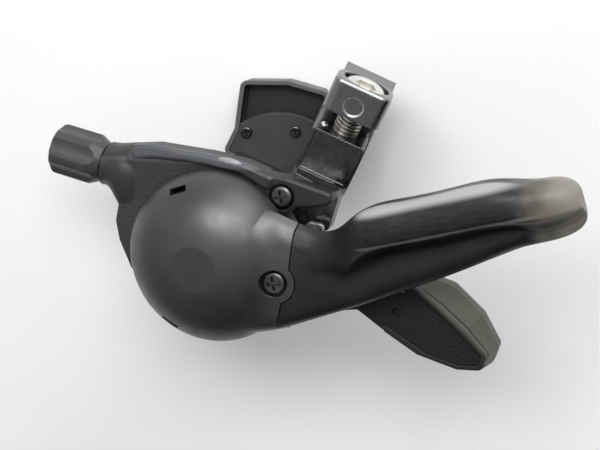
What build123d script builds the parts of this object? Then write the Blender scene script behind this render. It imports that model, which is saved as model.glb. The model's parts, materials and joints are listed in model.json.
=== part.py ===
from build123d import *
import math
import os

# Driving dimensions, in millimetres and degrees.
# The origin is the centre of the handlebar bore. X runs along the handlebar toward the levers,
# Z points to the lever side, and the pod leans from Z by pod_lean about Y.
bar_radius = 11.1
band_wall = 2.0
band_width = 11.0
band_turn = 8.0
ear_depth = 9.4
bolt_radius = 2.5
bolt_head_radius = 4.5
bolt_head_height = 3.0
bolt_head_sink = 4.7
bolt_offset = 14.3
ear_left = 6.2
lower_ear_right = 5.1
lower_ear_low = -3.2
lower_ear_high = 6.9
upper_ear_right = 5.8
upper_ear_low = 12.0
upper_ear_high = 19.3
upper_ear_slope = 12.0

pod_x = -13.9
pod_y = -28.8
pod_z = 24.4
pod_lean = 11.2
foot_high = -4.4
foot_low = -7.4
screw_x = 7.8
screw_y = 18.4

cap_radius = 18.2
cap_height = 10.5
cap_wall = 1.6
disc_radius = 4.8
slot_inset = 2.6
crease_blend = 12.0
cap_screw_x = 15.2
cap_screw_y = 4.3
bump_radius = 4.2
joint_gap = 0.2

floor_low = -13.0
floor_thickness = 1.4
cup_wall = 1.6
cup_foot = 13.8
cup_bend = -7.5
rim_level = -0.6
face_level = -2.4
plug_angle = -55.0

axle_radius = 2.5
run_gap = 0.04
press_gap = 0.01
plate_thickness = 1.2
guide_low = -2.9
guide_high = -1.9

cable_radius = 8.8
cable_level = -6.8
drum_flange = 9.8
drum_low = -8.6
drum_high = -5.0
ring_thickness = 1.4
tooth_tip = 10.6
tooth_root = 9.2
tooth_count = 25
pawl_thickness = 1.2
pawl_clear = 0.35
pawl_hub = 2.0
drive_angle = 118.0
hold_angle = 214.0
pawl_pin_low = -11.0
pawl_reach = tooth_tip + pawl_clear + pawl_hub + 0.05
cup_inner = pawl_reach + pawl_hub + 0.6
cup_radius = cup_inner + cup_wall

hub_plate_radius = pawl_reach + 2.0
hub_plate_low = 0.2
hub_plate_thickness = 1.6
lever_turn = 42.0
pad_height = 7.2

release_x = 14.3
release_y = 0.0
release_low = -8.6
release_high = -4.0
release_face = -4.8
release_pin_radius = 1.5

ridge_fall = 9.0
ridge_round = 0.9
barrel_turn = 12.5
barrel_offset = 10.2
barrel_start = 29.7
barrel_length = 11.4
boss_end = 29.1
boss_length = 11.4
boss_radius = 4.9
spring_pocket = 2.4
knob_radius = 5.4
stem_radius = 3.0
housing_radius = 2.5

case_low = -18.6
case_high = -12.2
case_wall = 1.0
dial_level = -16.2
case_front = -21.6
needle_x = -11.0
needle_y = -17.0
needle_length = 8.8
case_draft = 10.0
dial_inset = 0.5
window_outer = 9.6
window_inner = 4.6

UP = (Align.CENTER, Align.CENTER, Align.MIN)
POD = Location((pod_x, pod_y, pod_z), (0, -pod_lean, 0))
CLAMP = Location((0, 0, 0), (band_turn, 0, 0))


def rod(radius, low, high, x=0.0, y=0.0):
    """Upright cylinder between two levels."""
    return Pos(x, y, low) * Cylinder(radius, high - low, align=UP)


def tube(outer, inner, low, high, x=0.0, y=0.0):
    """Upright ring between two levels."""
    return rod(outer, low, high, x, y) - rod(inner, low - 1, high + 1, x, y)


def slab(points, low, high, corner=0.0):
    """Plate cut from a polygon, with its plan corners rounded."""
    face = Polygon(*points, align=None)
    if corner > 0:
        face = fillet(face.vertices(), corner)
    return Pos(0, 0, low) * extrude(face, high - low, dir=(0, 0, 1))


def brick(x0, x1, y0, y1, z0, z1):
    """Box given by its limits."""
    size = Box(x1 - x0, y1 - y0, z1 - z0)
    return Pos((x0 + x1) / 2, (y0 + y1) / 2, (z0 + z1) / 2) * size


def polar(radius, angle):
    """Plan point at a radius and an angle in degrees."""
    turn = math.radians(angle)
    return (radius * math.cos(turn), radius * math.sin(turn))


def coil(radius, wire, low, high, turns):
    """Round wire wound on a helix, with its ends inside the two levels."""
    height = high - low - 2 * wire
    path = Helix(height / turns, height, radius)
    start = path @ 0
    along = path % 0
    section = Plane(start, z_dir=along) * Circle(wire)
    return Pos(0, 0, low + wire) * sweep(section, path, is_frenet=True)


def cross_slot(x, y, top, span, width, depth):
    """Crossed driver recess sunk from a level."""
    slot = brick(-span, span, -width, width, top - depth, top + 1)
    return Pos(x, y, 0) * Rot(0, 0, 35) * (slot + Rot(0, 0, 90) * slot)


def pan_screw(x, y, seat, head, head_height, shank, length):
    """Pan-head screw seated at a level, with a crossed recess."""
    top = seat + head_height
    body = rod(head, seat, top, x, y)
    body = fillet(body.edges().group_by(Axis.Z)[-1], head_height * 0.45)
    body = body + rod(shank, seat - length, seat + 0.1, x, y)
    return body - cross_slot(x, y, top, head * 0.6, head * 0.13, head_height * 0.6)


# Handlebar clamp
ear_front = bolt_offset + ear_depth / 2
ear_back = bolt_offset - ear_depth / 2
band_outer = bar_radius + band_wall
half_band = band_width / 2


def along_x(radius, width):
    return Rot(0, 90, 0) * Cylinder(radius, width)


def clamp_band():
    """Split ring with two ears, and a foot that carries the pod."""
    ring = along_x(band_outer, band_width)
    lower = brick(-ear_left, lower_ear_right, lower_ear_low, lower_ear_high, 6, ear_front)
    upper_front = ear_front + 0.7
    upper = brick(-ear_left, upper_ear_right, upper_ear_low, upper_ear_high, ear_back, upper_front)
    lower = fillet(lower.edges().filter_by(Axis.Z), 0.8)
    upper = fillet(upper.edges().filter_by(Axis.Y).group_by(Axis.Z)[0], 3.0)
    upper = fillet(upper.edges().filter_by(Axis.Y).group_by(Axis.Z)[-1], 1.8)
    above = Box(40, 20, 40, align=(Align.CENTER, Align.MIN, Align.MAX))
    upper = upper - Pos(0, upper_ear_high, upper_front) * Rot(-upper_ear_slope, 0, 0) * above
    upper = fillet(upper.faces().sort_by(Axis.Y)[-1].edges(), 0.7)
    root = upper_ear_low - 2.6
    link = brick(-half_band, half_band, root, upper_ear_low + 2.5, 0, ear_back + 2.0)
    body = ring + lower + upper + link
    past = ear_left + 1
    slot = brick(-past, past, lower_ear_high, upper_ear_low, ear_back - 1.9, ear_front + 1)
    split = brick(-past, past, lower_ear_high, root, 4, ear_front + 1)
    body = body - slot - split
    body = body - along_y(bolt_head_radius + 0.35, upper_ear_high - bolt_head_sink, upper_ear_high + 1)
    mark = Pos(-0.5, upper_ear_low + 2.7, upper_front - 0.3) * Cylinder(2.0, 1, align=UP)
    left = 0.8 - ear_left
    right = lower_ear_right - 0.8
    panel = brick(left, right, lower_ear_low + 0.8, lower_ear_high - 0.8, ear_front - 0.25, ear_front + 1)
    return CLAMP * (body - mark - panel)


def along_y(radius, low, high):
    """Cylinder on the clamp bolt axis between two heights."""
    length = high - low
    return Pos(0, low, bolt_offset) * Rot(-90, 0, 0) * Cylinder(radius, length, align=UP)


def clamp_foot():
    """Foot plate under the bracket arm, in the pod frame, with a post to the ring."""
    points = [(5.0, 17.4), (4.4, 20.6), (7.4, 22.2), (16.6, 23.7), (17.8, 22.6)]
    points = points + [(18.7, 15.8), (17.0, 14.0), (12.4, 13.9), (10.2, 15.6), (10.0, 17.2)]
    return slab(points, foot_low, foot_high, 1.0)


def clamp_post(grow):
    """Post between the ring and the foot, its top parallel to the pod."""
    post = brick(-half_band - grow, 2.5 + grow, -11.6 - grow, -5.6 + grow, 5.0, 24.0)
    return post - POD * Pos(0, 0, foot_high) * Box(120, 120, 40, align=UP)


def clamp():
    body = clamp_band() + clamp_post(0) + POD * clamp_foot()
    body = body - along_x(bar_radius, 60)
    body = body - CLAMP * along_y(bolt_radius + 0.25, upper_ear_low - 1, upper_ear_high + 1)
    body = body - CLAMP * along_y(bolt_radius + press_gap, lower_ear_low - 1, upper_ear_low)
    return body - POD * rod(1.5 + press_gap, foot_low - 12, foot_high + 1, screw_x, screw_y)


def clamp_bolt():
    """Socket-head bolt through both ears."""
    seat = upper_ear_high - bolt_head_sink
    head = along_y(bolt_head_radius, seat, seat + bolt_head_height)
    head = fillet(head.edges().group_by(Axis.Y)[-1], 1.2)
    shank = along_y(bolt_radius, lower_ear_low + 0.4, seat + 0.1)
    socket = Pos(0, seat + 1.0, bolt_offset) * Rot(-90, 0, 0) * extrude(RegularPolygon(2.3, 6), 6)
    return CLAMP * (head + shank - socket)


# Bracket
barrel_dx = -math.cos(math.radians(barrel_turn))
barrel_dy = -math.sin(math.radians(barrel_turn))
barrel_foot = (barrel_offset * barrel_dy, -barrel_offset * barrel_dx)


def on_barrel(shape, start):
    """Places an upright shape on the barrel axis, its base at a distance from the drum."""
    x = barrel_foot[0] + start * barrel_dx
    y = barrel_foot[1] + start * barrel_dy
    return Location((x, y, cable_level), (0, 0, 180 + barrel_turn)) * Rot(0, 90, 0) * shape


def cup_shape(top, foot, bend, low, high):
    """Round cup that narrows toward its floor."""
    points = [(0, low), (foot, low), (top, bend), (top, high), (0, high)]
    return revolve(Plane.XZ * Polygon(*points, align=None), Axis.Z)


def barrel_boss():
    """Flared boss, oval where it leaves the pod and round at the knob."""
    shapes = [(0.0, 3.8, 9.6, 2.4, 0.0), (3.4, 4.7, 8.9, 2.0, 0.1), (6.4, 5.2, 7.2, 1.1, 0.2)]
    faces = [Pos(-lift, shift, at) * Ellipse(tall, wide) for at, tall, wide, shift, lift in shapes]
    faces.append(Pos(0, 0, 9.2) * Ellipse(boss_radius, boss_radius + 0.2))
    faces.append(Pos(0, 0, boss_length) * Ellipse(boss_radius - 0.2, boss_radius - 0.2))
    return loft(faces)


def bracket_body():
    """Moulded pod body with its cup, ridge, barrel boss and arm, in the pod frame."""
    edge = [(-26.4, 11.4), (-21.0, 14.6), (-9.4, 18.8), (-2.0, 20.8), (5.2, 21.4)]
    near = [(9.0, 12.0), (4.0, -8.0), (-15.4, -13.4), (-20.6, -8.6), (-23.0, -5.0)]
    body = slab(edge + near, -5.4, face_level, 1.6)
    low_edge = [(-24.8, 7.4), (-20.0, 10.2), (-9.0, 14.2), (0.0, 14.4)]
    body = body + slab(low_edge + near[1:], floor_low + 1.0, -5.0, 1.6)
    inner = [(5.2, 17.9), (-2.0, 18.2), (-8.6, 16.6), (-14.0, 14.8), (-19.8, 12.0), (-24.6, 9.0)]
    ridge = slab(edge + inner, -5.2, rim_level - 0.2, 1.2)
    fall = Box(30, 60, 10, align=(Align.MAX, Align.CENTER, Align.MIN))
    ridge = ridge - Pos(-16.0, 12.0, rim_level - 0.2) * Rot(0, -ridge_fall, 0) * fall
    flat, sloped = ridge.faces().filter_by(lambda face: face.normal_at().Z > 0.9)
    shared = flat.edges() & sloped.edges()
    ridge = fillet(flat.edges() + (sloped.edges() - shared), ridge_round)
    cup = cup_shape(cup_radius, cup_foot, cup_bend, floor_low, rim_level)
    boss = on_barrel(barrel_boss(), boss_end - boss_length)
    points = [(2.0, 14.0), (1.0, 20.6), (7.0, 22.4), (16.4, 24.0), (17.7, 22.8)]
    points = points + [(16.9, 21.2), (13.4, 18.8), (11.2, 17.4), (10.2, 15.0)]
    arm = slab(points, foot_high, -1.2, 1.0)
    arm = fillet(arm.edges().group_by(Axis.Z)[-1], 0.7)
    return body + ridge + cup + boss + arm


def bracket_cuts():
    """Hollow of the cup, its side opening, and the holes of the bracket."""
    floor = floor_low + floor_thickness
    cut = cup_shape(cup_inner, cup_foot - 1.2, cup_bend + 0.2, floor, 5)
    cut = cut + slab([(8.0, -8.4), (40, -24), (40, 13), (12.0, 12.6)], floor, 5)
    cut = cut + rod(axle_radius + press_gap, floor_low - 1, 0)
    cut = cut + on_barrel(Cylinder(stem_radius + run_gap, 40, align=UP), 5)
    cut = cut + on_barrel(Cylinder(boss_radius - 0.7, 4, align=UP), boss_end - spring_pocket)
    cut = cut + rod(1.5 + press_gap, foot_high - 10, 5, screw_x, screw_y)
    cut = cut + rod(2.7, -2.2, 5, screw_x, screw_y)
    cut = cut + rod(1.25 + press_gap, pawl_pin_low, 0, *pawl_pivot)
    cut = cut + slab([(3.0, 17.2), (3.0, 40), (20, 40), (20, 16.8)], foot_low - 6, foot_high)
    return cut + plug_hole()


def plug_frame(shape, radius):
    x, y = polar(radius, plug_angle)
    return Location((x, y, cable_level + 1.5), (0, 0, plug_angle)) * Rot(0, 90, 0) * shape


def plug_hole():
    return plug_frame(Cylinder(1.9, 6, align=UP), 13.5)


def indicator_neck():
    """Neck from the pod floor to the indicator, in front of the handlebar."""
    neck_front = case_front - 2.6
    neck_back = case_front + 2.2
    neck = brick(needle_x - 9.6, needle_x + 2.4, neck_front, neck_back, case_high, pod_z - 4.4)
    neck = fillet(neck.edges().filter_by(Axis.Z), 1.6)
    heel = brick(needle_x - 8.0, needle_x + 0.8, neck_front, case_front, case_low + 1.0, case_high + 0.5)
    above = POD * Pos(0, 0, floor_low + 0.7) * Box(120, 120, 60, align=UP)
    return neck + heel - above


def bracket():
    body = POD * (bracket_body() - bracket_cuts())
    return body - clamp_post(0.15) + indicator_neck()


def bracket_screw():
    return POD * pan_screw(screw_x, screw_y, -2.2, 2.3, 1.5, 1.5, 6.5)


# Fixed plate, axle and pins
plate_low = floor_low + floor_thickness
plate_high = plate_low + plate_thickness
pawl_pivot = polar(pawl_reach, hold_angle)


def base_plate():
    """Steel plate on the pod floor that holds the pins."""
    disc = rod(12.2, plate_low, plate_high)
    tab = slab([(8, -5.5), (18.4, -3.6), (18.4, 3.6), (8, 5.5)], plate_low, plate_high, 1.0)
    plate = disc + tab - rod(axle_radius + press_gap, plate_low - 1, plate_high + 1)
    hole = rod(release_pin_radius + press_gap, plate_low - 1, plate_high + 1, release_x, release_y)
    return POD * (plate - hole - rod(2.4, plate_low - 1, plate_high + 1, *pawl_pivot))


def guide_plate():
    """Steel plate over the release pin, seen through the side opening."""
    points = [(9.0, -8.0), (18.4, -4.4), (19.2, 6.0), (18.0, 17.2), (14.9, 16.2), (11.6, 8.4)]
    plate = slab(points, guide_low, guide_high, 0.8)
    hole = rod(release_pin_radius + press_gap, guide_low - 1, guide_high + 1, release_x, release_y)
    return POD * (plate - hole)


def main_axle():
    """Headed axle through the pod, with a threaded end under the cap."""
    axle = rod(axle_radius, floor_low - 1.4, 5.6)
    head = rod(4.4, floor_low - 1.4, floor_low)
    head = chamfer(head.edges().group_by(Axis.Z)[0], 0.4)
    hexagon = Pos(0, 0, floor_low - 1.5) * extrude(RegularPolygon(1.7, 6), 1.2)
    return POD * (axle + head - hexagon)


washer_low = hub_plate_low + hub_plate_thickness + 0.25


def axle_washer():
    return POD * tube(5.0, axle_radius + run_gap, washer_low, washer_low + 0.6)


def axle_nut():
    low = washer_low + 0.6
    body = Pos(0, 0, low) * extrude(RegularPolygon(4.6, 6), 2.4)
    return POD * (body - rod(axle_radius + press_gap, low - 1, low + 4))


def release_pin():
    pin = rod(release_pin_radius, plate_low, guide_high, release_x, release_y)
    collar = rod(2.3, release_high + 0.2, guide_low, release_x, release_y)
    return POD * (pin + collar)


def holding_pawl_pin():
    pin = rod(1.25, pawl_pin_low, ring_high - 0.1, *pawl_pivot)
    return POD * (pin + rod(1.8, -7.9, -7.5, *pawl_pivot))


# Drum and ratchet
ring_high = drum_high + ring_thickness


def cable_drum():
    """Drum with a cable groove, a hub under it for the spring, and a nipple pocket."""
    body = rod(drum_flange, drum_low, drum_high)
    groove = Plane.XZ * Pos(cable_radius + 0.95, cable_level) * Circle(0.95)
    body = body - revolve(groove, Axis.Z)
    body = body + rod(3.8, plate_high + 0.2, drum_low + 0.1)
    pocket = Pos(*polar(cable_radius, -60), cable_level - 1.9) * Cylinder(1.7, 10, align=UP)
    body = body - pocket
    return POD * (body - rod(axle_radius + run_gap, -20, 10))


def ratchet_ring():
    """Toothed steel ring fixed on the drum."""
    points = []
    pitch = 360.0 / tooth_count
    for k in range(tooth_count):
        angle = k * pitch
        points.append(polar(tooth_root, angle))
        points.append(polar(tooth_tip, angle + 0.07 * pitch))
        points.append(polar(tooth_tip, angle + 0.25 * pitch))
    ring = slab(points, drum_high, ring_high)
    return POD * (ring - rod(5.2, drum_high - 1, ring_high + 1))


def drum_spring():
    return POD * coil(5.4, 0.3, plate_high + 0.1, drum_low - 0.1, 1.5)


# Pawls
pawl_low = ring_high - pawl_thickness - 0.1
nose_radius = tooth_tip + pawl_clear


def pawl(angle, bore, low, sweep_angle):
    """Flat pawl whose nose lies just off the tooth tips."""
    px, py = polar(pawl_reach, angle)
    hub = rod(pawl_hub, low, low + pawl_thickness, px, py)
    side = 1.0 if sweep_angle > 0 else -1.0
    points = [polar(pawl_reach + 0.9 * pawl_hub, angle), polar(nose_radius + 1.9, angle + sweep_angle * 0.9)]
    points.append(polar(nose_radius, angle + sweep_angle))
    points.append(polar(nose_radius + 0.05, angle + sweep_angle - side * 5))
    points.append(polar(nose_radius + 0.15, angle + side * 3))
    arm = slab(points, low, low + pawl_thickness)
    return hub + arm - rod(bore, low - 1, low + 3, px, py)


def drive_pawl():
    return POD * pawl(drive_angle, 1.0 + run_gap, pawl_low, -32.0)


def drive_pawl_pin():
    """Pin that hangs the drive pawl from the lever plate."""
    x, y = polar(pawl_reach, drive_angle)
    return POD * (rod(1.0, pawl_low - 0.1, hub_plate_low + hub_plate_thickness, x, y))


def holding_pawl():
    return POD * pawl(hold_angle, 1.25 + run_gap, pawl_low, 32.0)


def small_coil(x, y, low, high, radius):
    return POD * Pos(x, y, 0) * coil(radius, 0.22, low, high, 3.0)


def drive_pawl_spring():
    x, y = polar(pawl_reach, drive_angle)
    return small_coil(x, y, pawl_low + pawl_thickness + 0.1, hub_plate_low - 0.1, 1.5)


def holding_pawl_spring():
    x, y = pawl_pivot
    return small_coil(x, y, -7.4, pawl_low - 0.1, 1.6)


# Main lever and its cap
# Each station gives the distance along the arm, the low and high edge, the web height and the pad share.
SECTION_STATIONS = [
    (3.0, -16.8, 12.4, 5.4, 0.0),
    (10.0, -17.6, 11.0, 6.0, 0.0),
    (16.0, -17.2, 7.6, 5.9, 0.0),
    (21.0, -16.7, 4.0, 5.4, 0.0),
    (26.5, -16.2, 0.6, 5.0, 0.1),
    (32.0, -15.6, 1.4, 5.1, 0.5),
    (37.5, -14.9, 3.6, 5.3, 0.92),
    (46.0, -13.7, 3.9, 5.8, 1.0),
    (56.0, -11.9, 4.0, 6.4, 1.0),
    (65.0, -10.2, 3.7, 7.2, 0.94),
    (70.5, -9.3, 2.4, 8.0, 0.8),
]
TIP_STATIONS = [(74.5, 0.92), (77.2, 0.72), (78.6, 0.42)]


def lever_section(low, high, web, pad, lift):
    """Points of one lever cross-section: low edge, web, drop, pad rim, thumb face, underside."""
    span = high - low
    base = 0.7 + lift
    rise = pad_height * pad
    flat = 1.0 - pad

    def across(share, inset):
        return flat * (low + share * span) + pad * (high - inset)

    points = [(low + 0.10 * span, base), (low + 0.015 * span, base + 0.35 * (web - base))]
    points.append((low + 0.06 * span, base + 0.72 * (web - base)))
    points.append((low + 0.22 * span, web - 0.3))
    points.append((across(0.44, 10.2), web - 0.5 * pad))
    points.append((across(0.52, 8.8), web + 0.14 * rise))
    points.append((across(0.62, 7.2), web + 0.82 * rise))
    points.append((across(0.68, 6.7), web - 0.1 * flat + 0.95 * rise))
    points.append((across(0.74, 6.0), web - 0.2 * flat + 1.0 * rise))
    points.append((across(0.86, 3.0), web - 0.8 * flat + 1.03 * rise))
    points.append((across(0.90, 2.3), web - 1.1 * flat + 1.01 * rise))
    points.append((across(0.94, 0.8), web - 1.5 * flat + 0.88 * rise))
    points.append((across(0.97, 0.3), web - 1.9 * flat + 0.76 * rise))
    points.append((high, base + 0.5 * (web - base) + 0.15 * rise))
    points.append((high - 0.06 * span, base))
    return points


def section_wire(station, shape):
    """Closed section curve square to the arm at a station."""
    x, y = polar(station, lever_turn)
    away = polar(1.0, lever_turn)
    beside = polar(1.0, lever_turn + 90.0)
    plane = Plane((x, y, 0), x_dir=(beside[0], beside[1], 0), z_dir=(away[0], away[1], 0))
    points = [plane.from_local_coords((n, z, 0)) for n, z in shape]
    crown = Edge.make_spline(points[1:-1])
    corners = points[-2:] + points[:2]
    flats = [Edge.make_line(a, b) for a, b in zip(corners, corners[1:])]
    return Wire([crown] + flats)


def lever_loft():
    """Arm and thumb pad as one skin through the sections."""
    wires = []
    shape = []
    for station, low, high, web, pad in SECTION_STATIONS:
        lift = max(0.0, (station - 30.0) * 0.085)
        shape = lever_section(low, high, web + lift * 0.4, pad, lift)
        wires.append(section_wire(station, shape))
    middle_n = sum(n for n, z in shape) / len(shape)
    middle_z = sum(z for n, z in shape) / len(shape)
    for station, share in TIP_STATIONS:
        small = [(middle_n + share * (n - middle_n), middle_z + share * (z - middle_z)) for n, z in shape]
        wires.append(section_wire(station, small))
    return Solid.make_loft(wires)


def dome(radius, height, base):
    """Rounded cap shape that ends in a small flat disc."""
    flat = disc_radius / cap_radius
    points = []
    for k in range(10):
        share = flat + (1.0 - flat) * math.cos(math.radians(10.0 * k))
        points.append((radius * share, base + height * (1.0 - share ** 2.2) ** 0.588))
    curve = Spline(*points)
    side = Polyline(points[-1], (0, points[-1][1]), (0, base), points[0])
    return revolve(Plane.XZ * make_face(Curve() + [curve, side]), Axis.Z)


def lever_side(shift):
    """Region on the lever side of the joint line, moved off the line by a gap."""
    line = [(13.0, 24.0), (14.2, 15.4), (16.8, 8.0), (19.4, -5.6), (21.0, -24.0)]
    region = slab(line + [(110.0, -24.0), (110.0, 90.0), (13.0, 90.0)], -5, 40)
    return Pos(shift, 0, 0) * region - rod(bump_radius + shift, -6, 41, cap_screw_x, cap_screw_y)


def lever_root(grow):
    """Thin plate that joins the lever hub to its arm under the cap."""
    points = [(4, 12.2), (13.2, 12.0), (19.5, 12.0), (21.0, -4.6), (14.0, -7.8), (4, -12.2)]
    root = slab(points, hub_plate_low, hub_plate_low + hub_plate_thickness)
    return root + rod(hub_plate_radius + grow, hub_plate_low, hub_plate_low + hub_plate_thickness)


def main_lever():
    """Lever arm with its thumb pad, and the hub plate that turns on the axle."""
    arm = lever_loft() & lever_side(joint_gap)
    body = arm + lever_root(0)
    body = body + rod(6.4, -0.2, hub_plate_low + 0.1)
    body = body - rod(4.0 + press_gap, -10, 10)
    body = body - rod(1.0 + press_gap, -5, 10, *polar(pawl_reach, drive_angle))
    body = body - rod(1.1 + press_gap, -5, 10, cap_screw_x, cap_screw_y)
    return POD * body


def cap_skin():
    """Dome and the root of the arm as one outside, with a soft blend between them."""
    root = lever_loft() & slab([(3.0, -30), (30, -30), (30, 40), (9.0, 40)], -5, 40)
    skin = dome(cap_radius, cap_height, 0) + root
    middle = Vector(cap_radius * 0.72, 0, cap_height * 0.53)
    creases = [edge for edge in skin.edges() if edge.length > 8 and (edge.center() - middle).length < 9]
    return fillet(creases, crease_blend)


def lever_cap():
    """Domed cover that turns with the lever."""
    high = hub_plate_low + hub_plate_thickness
    side = lever_side(0)
    hollow = dome(cap_radius - cap_wall, cap_height - cap_wall, -0.01)
    hollow = hollow & slab([(-30, -30), (12.0, -30), (10.0, 30), (-30, 30)], -1, 30)
    points = [(4, 15.6), (13.6, 13.0), (30, 13.0), (30, -5.8), (14.2, -9.0), (4, -15.6)]
    room = slab(points, -1, high) + rod(hub_plate_radius + 0.4, -1, high)
    shell = cap_skin() - side - hollow - room
    shell = shell - rod(1.1 + 0.1, -1, 20, cap_screw_x, cap_screw_y)
    shell = shell - rod(2.8, 4.9, 20, cap_screw_x, cap_screw_y)
    for angle in (134.0, 265.0):
        x, y = polar(cap_radius - slot_inset, angle)
        slot = Pos(x, y, 3.0) * Rot(0, 0, angle) * Box(1.1, 3.8, 6.0)
        shell = shell - slot
    return POD * shell


def lever_cap_screw():
    return POD * pan_screw(cap_screw_x, cap_screw_y, 4.9, 2.4, 1.4, 1.1, 4.6)


def lever_bush():
    """Steel sleeve pressed in the lever hub that runs on the axle."""
    return POD * tube(4.0, axle_radius + run_gap, ring_high + 0.2, hub_plate_low + hub_plate_thickness)


def lever_spring():
    return POD * coil(5.4, 0.45, ring_high + 0.2, -0.3, 1.5)


# Release lever
def release_pad():
    """Finger pad with a straight crest and a wall that swells below it."""
    near = [(36.8, 2.6), (46.0, 1.6), (54.4, 3.0), (58.8, 5.4)]
    top = near + [(58.4, 8.8), (52.2, 11.0), (45.6, 12.8), (38.4, 14.6)]
    near = [(36.8, 2.0), (46.0, 0.9), (54.8, 2.6), (60.0, 5.6)]
    low = near + [(59.4, 9.8), (53.6, 14.0), (45.8, 16.4), (38.0, 15.2)]
    faces = []
    for points, level in ((top, -3.6), (low, -9.0), (low, -11.6)):
        face = fillet(Polygon(*points, align=None).vertices(), 1.5)
        faces.append(Pos(0, 0, level) * face)
    pad = loft(faces[:2], ruled=True) + loft(faces[1:], ruled=True)
    return fillet(pad.edges().group_by(Axis.Z)[-1], 0.6)


def release_lever():
    """Lower lever: hub, cranked arm, and a pad with a raised rim."""
    hub = rod(3.0, release_low, release_high, release_x, release_y)
    near = [(13.4, -2.9), (22.0, -3.0), (31.0, 3.4), (38.0, 2.2)]
    far = [(41.0, 11.0), (34.0, 12.0), (24.0, 6.8), (13.4, 2.9)]
    arm = slab(near + far, -7.4, release_face, 1.0)
    near = [(34.0, 4.0), (41.0, 3.6), (47.4, 2.8), (54.4, 4.1), (58.0, 6.2)]
    far = [(57.4, 8.3), (48.6, 11.3), (39.6, 13.6), (34.0, 13.0)]
    recess = slab(near + far, release_face, 0, 0.8)
    near = [(36.0, -2.0), (62.0, -2.0), (57.0, 8.6)]
    under = slab(near + [(47.0, 12.0), (36.0, 12.0)], -14.0, -7.0, 1.0)
    body = hub + arm + release_pad() - recess - under
    body = body - rod(0.9, release_face - 1.2, 0, 38.4, 7.1)
    body = body - rod(release_pin_radius + run_gap, -20, 0, release_x, release_y)
    return POD * body


def release_spring():
    spring = coil(2.1, 0.25, plate_high + 0.1, release_low - 0.1, 2.0)
    return POD * Pos(release_x, release_y, 0) * spring


# Barrel adjuster
def barrel_knob():
    """Scalloped knob on the cable inlet."""
    shoulder = 2.6
    body = Cone(knob_radius - 1.3, knob_radius, shoulder, align=UP)
    crown = Pos(0, 0, shoulder) * Cylinder(knob_radius, barrel_length - shoulder, align=UP)
    crown = fillet(crown.edges().group_by(Axis.Z)[-1], 0.9)
    body = body + crown
    for k in range(6):
        x, y = polar(knob_radius + 3.4, 60 * k + 20)
        body = body - Pos(x, y, 1.2) * Cylinder(4.2, 20, align=UP)
    body = body - Pos(0, 0, -1) * Cylinder(stem_radius + run_gap, 30, align=UP)
    return POD * on_barrel(body, barrel_start)


def barrel_stem():
    """Threaded sleeve that takes the cable housing."""
    start = 20.0
    length = barrel_start + barrel_length - 0.6 - start
    body = Cylinder(stem_radius, length, align=UP)
    body = body - Pos(0, 0, 5) * Cylinder(housing_radius, length, align=UP)
    body = body - Pos(0, 0, -1) * Cylinder(0.9, length + 4, align=UP)
    return POD * on_barrel(body, start)


def barrel_spring():
    """Detent spring between the boss and the knob."""
    start = boss_end - spring_pocket + 0.1
    return POD * on_barrel(coil(3.6, 0.32, 0, barrel_start - 0.1 - start, 3.0), start)


# Gear indicator, in front of and above the handlebar
CASE = [(-6.0, 2.1), (-16.0, 0.5), (-25.7, -4.0), (-24.4, -9.0), (-22.8, -15.0)]
CASE = CASE + [(-23.2, case_front), (-6.0, case_front)]


def case_region(inset, low, high):
    face = fillet(Polygon(*CASE, align=None).vertices(), 1.8)
    return Pos(0, 0, low) * extrude(offset(face, -inset), high - low, dir=(0, 0, 1))


def window_region(inset, low, high):
    """Fan window around the needle pivot."""
    points = [polar(window_inner + inset, 102 + 4 * inset)]
    for k in range(9):
        points.append(polar(window_outer - inset, 102 + 2 * inset + k * (62 - 4 * inset) / 8))
    points.append(polar(window_inner + inset, 164 - 4 * inset))
    return Pos(needle_x, needle_y, 0) * slab(points, low, high)


def indicator_case():
    """Thin-walled shell, open toward the handlebar, with a window on its far side."""
    rim = fillet(Polygon(*CASE, align=None).vertices(), 1.8)
    depth = case_high - case_low
    shell = Pos(0, 0, case_high) * extrude(rim, depth, dir=(0, 0, -1), taper=case_draft)
    shell = fillet(shell.edges().group_by(Axis.Z)[0], 0.6)
    shell = shell - case_region(case_wall + 1.4, case_low + 1.2, dial_level + 0.1)
    shell = shell - case_region(case_wall + dial_inset, dial_level, dial_level + 0.9)
    shell = shell - case_region(case_wall, dial_level + 0.85, case_high + 1)
    return shell - window_region(0, case_low - 1, case_low + 2)


def indicator_window():
    return window_region(0.02, case_low + 0.2, case_low + 1.1)


def indicator_dial():
    """Dial plate on the ledge of the case."""
    plate = case_region(case_wall + dial_inset + 0.1, dial_level, dial_level + 0.8)
    return plate - rod(0.7 + press_gap, dial_level - 1, dial_level + 2, needle_x, needle_y)


def needle_pin():
    pin = rod(0.7, case_low + 1.25, dial_level + 2.4, needle_x, needle_y)
    return pin


def indicator_needle():
    """Pointer between the dial and the window."""
    hub = rod(1.5, case_low + 1.5, dial_level - 0.25, needle_x, needle_y)
    tip = polar(needle_length, 160)
    side = polar(0.8, 70)
    points = [(needle_x + side[0], needle_y + side[1]), (needle_x + tip[0], needle_y + tip[1])]
    points.append((needle_x - side[0], needle_y - side[1]))
    pointer = slab(points, case_low + 1.6, dial_level - 0.3)
    return hub + pointer - rod(0.7 + run_gap, -30, 0, needle_x, needle_y)


def back_plate():
    """Back cover under the needle works, with an arc edge."""
    cover = case_region(case_wall + 0.05, case_high - 1.4, case_high - 0.2)
    arc = rod(16.8, case_high - 3, case_high + 2, -8.0, -22.6)
    cover = cover & arc
    for x, y in BACK_SCREWS:
        cover = cover + tube(1.5, 0.8, dial_level + 0.8, case_high - 1.3, x, y)
        cover = cover - rod(0.8 + press_gap, -30, 0, x, y)
    return cover


BACK_SCREWS = [(-20.0, -14.6), (-10.0, -9.6)]


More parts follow.
